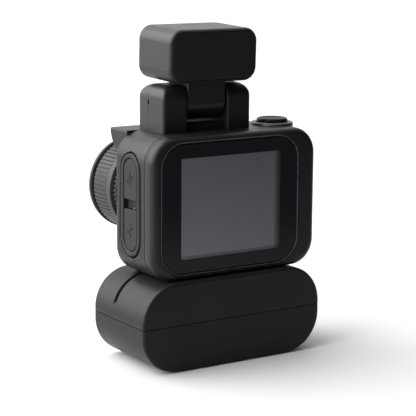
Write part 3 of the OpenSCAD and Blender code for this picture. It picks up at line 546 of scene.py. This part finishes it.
# Outer rim: a fillet of f beside a gap that is 0.3 wide. Mouth of the slot: a fillet of g.
f, g = 0.5, 0.4
rim_cut = [(port_x + 0.1, -0.3), (port_x + 0.1, f + 0.3)]
for i in range(7):
    a = math.pi / 12 * i
    rim_cut.append((port_x - f + f * math.cos(a), f + 0.3 - f * math.sin(a)))
rim_cut += [(port_x - 1.5, 0.3), (port_x - 1.5, -0.3)]
mouth = [(port_x + 0.1, 0.6), (port_x + 0.1, -g)]
for i in range(5):
    a = math.pi / 8 * i
    mouth.append((port_x - g + g * math.cos(a), -g + g * math.sin(a)))
mouth.append((port_x - g, 0.6))
ports = cut(cad_copy("port_frame"), band("rim", FRAME_W, FRAME_H, FRAME_W / 2, rim_cut, port_put, steps=16))
cut(ports, band("mouth", SLOT_W, SLOT_H, SLOT_W / 2, mouth, port_put, steps=16))
piece(ports, "port_surround", "camera", paint["trim_plastic"], ["port_frame"])


def port_cover(node, name, body, up):
    """Cover with a round pivot end, a softened outer edge and its small plain marks."""
    low, high, mid = node_box(node)
    end_r = COVER_W / 2
    radii = [end_r, end_r, 0.5, 0.5] if up else [0.5, 0.5, end_r, end_r]
    made = slab("cover", COVER_W, high.z - low.z - 0.24, radii, low.x, high.x, 0.1, 0.3,
                along("x", mid.y, mid.z), steps=12)
    pivot = high.z - COVER_PIVOT if up else low.z + COVER_PIVOT
    pins = [lathe("pin", [(0.45, mid.y + s * 4.0), (0.45, mid.y + s * 5.4)],
                  along("y", mid.x, pivot), count=16) for s in (-1, 1)]
    joined(made, *pins)
    marks = [slab("mark", 0.42, 5.6, 0.2, high.x - 0.22, high.x + 1, 0, 0, along("x", mid.y, mid.z),
                  steps=4)]
    for k in (-1, 1):
        marks.append(slab("mark", 1.0, 1.0, 0.5, high.x - 0.2, high.x + 1, 0, 0,
                          along("x", mid.y + k * 1.4, mid.z + k * 0.8), steps=6))
    cut(made, *marks)
    piece(made, name, body, paint["trim_plastic"], [node])


port_cover("upper_port_cover", "upper_cover_flap", "upper_cover", True)
port_cover("lower_port_cover", "lower_cover_flap", "lower_cover", False)


# ---- lens -------------------------------------------------------------------

lens_put = along("y", lens_mid.x, lens_mid.z)
y0, y1 = rim_low.y, rim_high.y
rim = lathe("rim", [
    (12.45, y1), (12.45, y0 + 1.2), (12.8, y0 + 1.0), (15.7, y0 + 0.18), (16.1, y0 + 0.03), (16.4, y0),
    (16.7, y0 + 0.05), (16.95, y0 + 0.22), (17.07, y0 + 0.5), (17.07, y1 - 0.5), (17.0, y1 - 0.3),
    (16.5, y1 - 0.05), (16.3, y1)], lens_put, closed=True)
piece(rim, "lens_rim", "camera", paint["lens_metal"], ["lens_front_ring"])


def ribbed(name, rows, count, fill, samples, put):
    """Ring with ribs: rows of (place, radius, rib height), closed."""
    turn = []
    for i in range(count * samples):
        share = (i % samples) / samples
        turn.append((2 * math.pi * i / (count * samples), 1.0 if share < fill else 0.0))
    return loft(name, [[put((r + h * up) * math.cos(a), (r + h * up) * math.sin(a), t) for a, up in turn]
                       for t, r, h in rows], closed=True)


y0, y1 = focus_low.y, focus_high.y
grip = ribbed("grip", [
    (y0, 15.06, 0), (y0, 15.7, 0), (y0 + 0.12, 16.1, 0), (y0 + 0.35, 16.3, 0), (y0 + 0.75, 16.36, 0),
    (y0 + 0.8, 16.36, 0.1), (y0 + 1.05, 16.38, 0.48), (y1 - 3.35, 16.38, 0.48), (y1 - 3.1, 16.42, 0.2),
    (y1 - 3.05, 16.6, 0), (y1 - 2.95, 16.85, 0), (y1 - 2.75, 16.96, 0), (y1 - 0.45, 16.98, 0),
    (y1 - 0.12, 16.85, 0), (y1, 16.5, 0), (y1, 15.06, 0)], 68, 0.5, 8, lens_put)
piece(grip, "focus_grip", "focus", paint["ring_metal"], ["focus_ring"], angle=28)

y0, y1 = teeth_low.y, teeth_high.y
gear = ribbed("gear", [
    (y0, 15.06, 0), (y0, 15.15, 0.3), (y0 + 0.2, 15.28, 0.48), (y1 - 0.2, 15.28, 0.48), (y1, 15.15, 0.3),
    (y1, 15.06, 0)], 60, 0.45, 8, lens_put)
piece(gear, "aperture_teeth", "aperture", paint["ring_metal"], ["rear_ring"], angle=28)


# ---- hood over the lens -----------------------------------------------------

def offset(points, d):
    """The closed polygon moved inwards by d, for points that run anticlockwise."""
    moved = []
    for i, p in enumerate(points):
        a, b = Vector(points[i - 1]), Vector(points[(i + 1) % len(points)])
        p = Vector(p)
        n1 = Vector((-(p - a).y, (p - a).x)).normalized()
        n2 = Vector((-(b - p).y, (b - p).x)).normalized()
        n = (n1 + n2).normalized()
        moved.append(tuple(p + n * (d / max(n.dot(n1), 0.35))))
    return moved


hood_top, hood_y0, hood_y1 = body_high.z, hood_low.y, body_low.y
nose = [(hood_y0 + (hood_y1 - hood_y0) * (1 - math.cos(math.radians(90 * i / 10))),
         hood_top - HOOD_DROP * math.sin(math.radians(90 * i / 10))) for i in range(1, 11)]
hood_y2 = hood_y1 + BODY_FILLET
side = [(hood_y2, hood_top), (hood_y0 + 1.0, hood_top), (hood_y0 + 0.45, hood_top - 0.06),
        (hood_y0 + 0.12, hood_top - 0.32)] + nose + [(hood_y2, hood_top - HOOD_DROP)]
hood = loft("hood", [[Vector((x, y, z)) for y, z in offset(side, d)]
                     for x, d in fillet_rows(hood_low.x, hood_high.x, 0.8, 0.8)])
cut(hood, body_envelope(0.02), lathe("bore", [(17.7, -40), (17.7, 20)], lens_put, count=128))
piece(hood, "hood_over_lens", "camera", paint["body_plastic"], ["lens_hood"])


# ---- controls ---------------------------------------------------------------

ring_put = along("z", collar_mid.x, collar_mid.y)
top = collar_high.z
collar = lathe("collar", [
    (5.95, collar_low.z), (7.8, collar_low.z), (7.8, top - 0.6), (7.72, top - 0.35), (7.5, top - 0.1),
    (7.25, top), (6.45, top), (6.1, top - 0.12), (5.95, top - 0.3)], ring_put, closed=True)
cut(collar, body_envelope())
piece(collar, "shutter_surround", "camera", paint["control_metal"], ["shutter_collar"])

z0, z1 = button_low.z, button_high.z
dish_r = 22  # radius of the hollow in the cap's top
dish = [(r, z1 - 0.7 + dish_r - math.sqrt(dish_r * dish_r - r * r)) for r in (4.8, 4.0, 3.0, 2.0, 1.0, 0)]
cap = lathe("cap", [
    (0, z0), (2.8, z0), (2.8, z0 + 0.6), (2.4, z0 + 0.6), (2.4, z1 - 1.3), (5.5, z1 - 1.3), (5.72, z1 - 1.15),
    (5.72, z1 - 0.75), (5.62, z1 - 0.42), (5.42, z1 - 0.18), (5.2, z1 - 0.05), (5.02, z1 - 0.02)] + dish,
            ring_put)
piece(cap, "shutter_cap", "shutter", paint["control_gloss"], ["shutter_button"])

power_mid = node_box("power_button")[2]
tilt = math.radians(50)
corner = Vector((body_low.x + BODY_R, power_mid.y, body_high.z - BODY_R))
shoulder = Matrix.Translation(corner) @ Matrix.Rotation(-tilt, 4, "Y")
power_put = along("z", 0, 0, shoulder)
power = slab("power", POWER_W, POWER_L, POWER_W / 2, 7.1, 10.0, 0, 0.35, power_put, steps=10)
joined(power, slab("flange", POWER_W + 1, POWER_L + 1, POWER_W / 2 + 0.5, 6.5, 7.1001, 0, 0, power_put,
                   steps=10))
piece(power, "power_key", "power", paint["control_metal"], ["power_button"])


# ---- hinge block ------------------------------------------------------------

block_z0, block_z1 = block_low.z, block_high.z
block_y0, block_y1 = block_low.y, block_high.y
block_mid_x = (block_low.x + block_high.x) / 2
block_half_w = (block_high.x - block_low.x) / 2
block_mid_y = (block_y0 + block_y1) / 2
block_half_d = (block_y1 - block_y0) / 2


def block_half_widths(z):
    """Half width and half depth of the block at a height, with its two rounded profiles."""
    up_x, up_y = z - (block_z1 - EDGE_X), z - (block_z1 - EDGE_Y)
    hx = block_half_w - (EDGE_X - math.sqrt(max(EDGE_X ** 2 - up_x ** 2, 0)) if up_x > 0 else 0)
    hy = block_half_d - (EDGE_Y - math.sqrt(max(EDGE_Y ** 2 - up_y ** 2, 0)) if up_y > 0 else 0)
    return hx, hy


heights = [block_z0, block_z1 - EDGE_Y]
heights += [block_z1 - EDGE_Y * (1 - math.sin(math.radians(a))) for a in range(5, 90, 5)]
heights.append(block_z1)


def ear(sign):
    """One ear of the block, on the +X or the -X side, narrowing into its rounded top."""
    sections = []
    for z in heights:
        hx, hy = block_half_widths(z)
        outer, inner = hx - SKIN, GAP / 2
        w = outer - inner
        mid = block_mid_x + sign * (outer + inner) / 2
        outer_r = min(1.3, w / 2 - 0.05, hy - 0.05)
        inner_r = min(0.6, outer_r)
        radii = [outer_r, inner_r, inner_r, outer_r] if sign > 0 else [inner_r, outer_r, outer_r, inner_r]
        put = along("z", mid, block_mid_y)
        sections.append([put(a, b, z) for a, b in outline(w, 2 * hy - 2 * SKIN, radii, 6)])
    return loft("ear", sections)


def block_web():
    """The low web between the two ears."""
    return slab("web", GAP + 4, 2 * block_half_d - WEB_INSET - 0.3, 0.3, block_z0, block_z0 + WEB, 0, 0.5,
                along("z", block_mid_x, block_mid_y - WEB_INSET / 2 + 0.1), steps=4)


hinge_put = along("x", pin_mid.y, pin_mid.z)


def block_half(name, y0, y1, node):
    """One half of the block, from y0 to y1, with the bores, screw holes and pry notches in it."""
    apron = box("apron", (block_mid_x - GAP / 2 - 1, block_y0 + 0.05, block_z0),
                (block_mid_x + GAP / 2 + 1, block_y0 + APRON_T, block_z0 + APRON_H))
    half = joined(ear(1), ear(-1), block_web(), apron)
    common(half, box("half", (-60, y0, 60), (60, y1, 130)))
    cut(half, lathe("bore", [(1.5, block_low.x - 1), (1.5, block_high.x - 3)], hinge_put, count=32))
    for s in (-1, 1):
        x = block_mid_x + s * block_half_w
        cut(half, box("notch", (x - 0.5, block_split - 0.5, pin_mid.z - 0.8),
                      (x + 0.5, block_split + 0.5, pin_mid.z + 0.8)))
        cut(half, lathe("screw", [(1.05, block_y0 + 3), (1.05, block_y1 - 4)],
                        along("y", block_mid_x + s * (block_half_w - 2.4), block_z0 + 4), count=24))
        if y1 > block_split + 1:
            foot_put = along("z", block_mid_x + s * (GAP / 2 + 3), (block_split + block_y1) / 2)
            cut(half, lathe("screw", [(1.05, block_z0 - 1), (1.05, block_z0 + 5.5)], foot_put, count=24))
    piece(half, name, "camera", paint["block_plastic"], [node])


block_half("block_front", block_y0 - 5, block_split - 0.06, "hinge_block_front")
block_half("block_rear", block_split + 0.06, block_y1 + 5, "hinge_block_rear")


# ---- lamp head --------------------------------------------------------------

hinge = Matrix.Translation((block_mid_x, pin_mid.y, pin_mid.z))
hinge = hinge @ Matrix.Rotation(-math.radians(HEAD_LEAN), 4, "X")
head_put = along("y", 0, HEAD_Z, hinge)
head = common(cad_copy("head_shell"), slab(
    "envelope", HEAD_W - 2 * SKIN, HEAD_H - 2 * SKIN, HEAD_R - SKIN, HEAD_Y0 + SKIN, HEAD_Y1 - SKIN, 1.1, 1.6,
    head_put, steps=16))
piece(head, "head_housing", "head", paint["head_plastic"], ["head_shell"])
cover = slab("cover", HEAD_W - 2.3, HEAD_H - 2.3, HEAD_R - 1.15, HEAD_Y1 - 1.6, HEAD_Y1 - 0.1, 0, 0.25,
             head_put, steps=16)
piece(cover, "head_back_panel", "head", paint["head_plastic"], ["head_rear_cover"])

arm_side = [(ARM_R * math.cos(math.radians(a)), ARM_R * math.sin(math.radians(a)))
            for a in range(180, 361, 6)]
arm_side += [(ARM_R, ARM_TOP), (-ARM_R, ARM_TOP)]
arm = loft("arm", [[hinge @ Vector((x, y, z)) for y, z in offset(arm_side, d)]
                   for x, d in fillet_rows(-ARM_W / 2, ARM_W / 2, 0.45, 0.45)])
joined(arm, box("tab", (-ARM_W / 2 + 2, -3.1, 5), (ARM_W / 2 - 2, 5.2, 10.6), hinge))
cut(arm, lathe("bore", [(1.55, -20), (1.55, 20)], along("x", 0, 0, hinge), count=32))
piece(arm, "tilt_arm", "head", paint["block_plastic"], ["head_arm"])


# ---- camera, floor and light ------------------------------------------------

azimuth, elevation, roll = math.radians(147.018), math.radians(10.678), math.radians(0.380)
level = math.cos(elevation)
back = Vector((math.sin(azimuth) * level, -math.cos(azimuth) * level, math.sin(elevation)))
right = (-back).cross(Vector((0, 0, 1))).normalized()
up = right.cross(-back).normalized()
rolled_right = right * math.cos(roll) + up * math.sin(roll)
rolled_up = up * math.cos(roll) - right * math.sin(roll)
eye = bpy.data.cameras.new("camera")
eye.sensor_width = 36
eye.lens = 130.0
eye.clip_start, eye.clip_end = 0.01, 50
viewer = bpy.data.objects.new("camera", eye)
bpy.context.scene.collection.objects.link(viewer)
spot = Vector((0, 0, 0.05422)) + back * 0.5487 - right * 0.000135
viewer.matrix_world = Matrix((
    (rolled_right.x, rolled_up.x, back.x, spot.x),
    (rolled_right.y, rolled_up.y, back.y, spot.y),
    (rolled_right.z, rolled_up.z, back.z, spot.z),
    (0, 0, 0, 1)))
bpy.context.scene.camera = viewer

# Pale floor. On the screen side it darkens from 0.11 m to 0.3 m out, a painted shade that keeps its
# reflection out of the rear faces.
bm = bmesh.new()
bmesh.ops.create_grid(bm, x_segments=1, y_segments=1, size=6)
floor = new_object("floor", bm)
n = Nodes("floor_paint")
n.set(Specular_IOR_Level=0.15)
across = n.add("VectorMath", operation="DOT_PRODUCT")
n.link(n.where, across.inputs[0])
across.inputs[1].default_value = (-0.45, 0.89, 0)
# Painted shade on the floor's screen side.
dim = n.spread(across.outputs["Value"], 1.0, 0.12, 0.11, 0.3)
speck = n.spread(n.noise(0.3), 0.97, 1.0)
product = n.add("Math", operation="MULTIPLY")
n.link(dim, product.inputs[0])
n.link(speck, product.inputs[1])
floor.data.materials.append(n.wire(n.between(product.outputs[0], (0, 0, 0), (0.47, 0.47, 0.472), 0.0, 1.0),
                                   n.spread(n.noise(0.05), 0.6, 0.7)))


# Soft light from a bright part of the sky, over the lens side and the port side. The sky on the screen side
# is dim.
def sky_patch(n, direction, start, end, strength):
    """Brightness that rises towards a direction of the sky."""
    facing = n.nodes.new("ShaderNodeVectorMath")
    facing.operation = "DOT_PRODUCT"
    facing.inputs[1].default_value = Vector(direction).normalized()
    n.links.new(coords.outputs["Generated"], facing.inputs[0])
    rise = n.nodes.new("ShaderNodeMapRange")
    rise.interpolation_type = "SMOOTHSTEP"
    rise.inputs["From Min"].default_value = start
    rise.inputs["From Max"].default_value = end
    rise.inputs["To Max"].default_value = strength
    n.links.new(facing.outputs["Value"], rise.inputs["Value"])
    return rise.outputs["Result"]


world = bpy.data.worlds.new("world")
world.use_nodes = True
tree = world.node_tree
coords = tree.nodes.new("ShaderNodeTexCoord")
total = None
for direction, start, end, strength in (
        ((0.93, -0.33, 0.6), 0.5, 1.0, 7.5),
        ((-0.25, -0.95, 0.25), 0.05, 0.9, 1.0),
        ((0.1, -0.35, 1), 0.55, 1.0, 1.6)):
    patch = sky_patch(tree, direction, start, end, strength)
    if total is None:
        total = patch
    else:
        add = tree.nodes.new("ShaderNodeMath")
        tree.links.new(total, add.inputs[0])
        tree.links.new(patch, add.inputs[1])
        total = add.outputs[0]
tree.links.new(total, tree.nodes["Background"].inputs["Strength"])
tree.nodes["Background"].inputs["Color"].default_value = (0.985, 0.99, 1.0, 1)
bpy.context.scene.world = world
bpy.context.scene.view_settings.view_transform = "Standard"
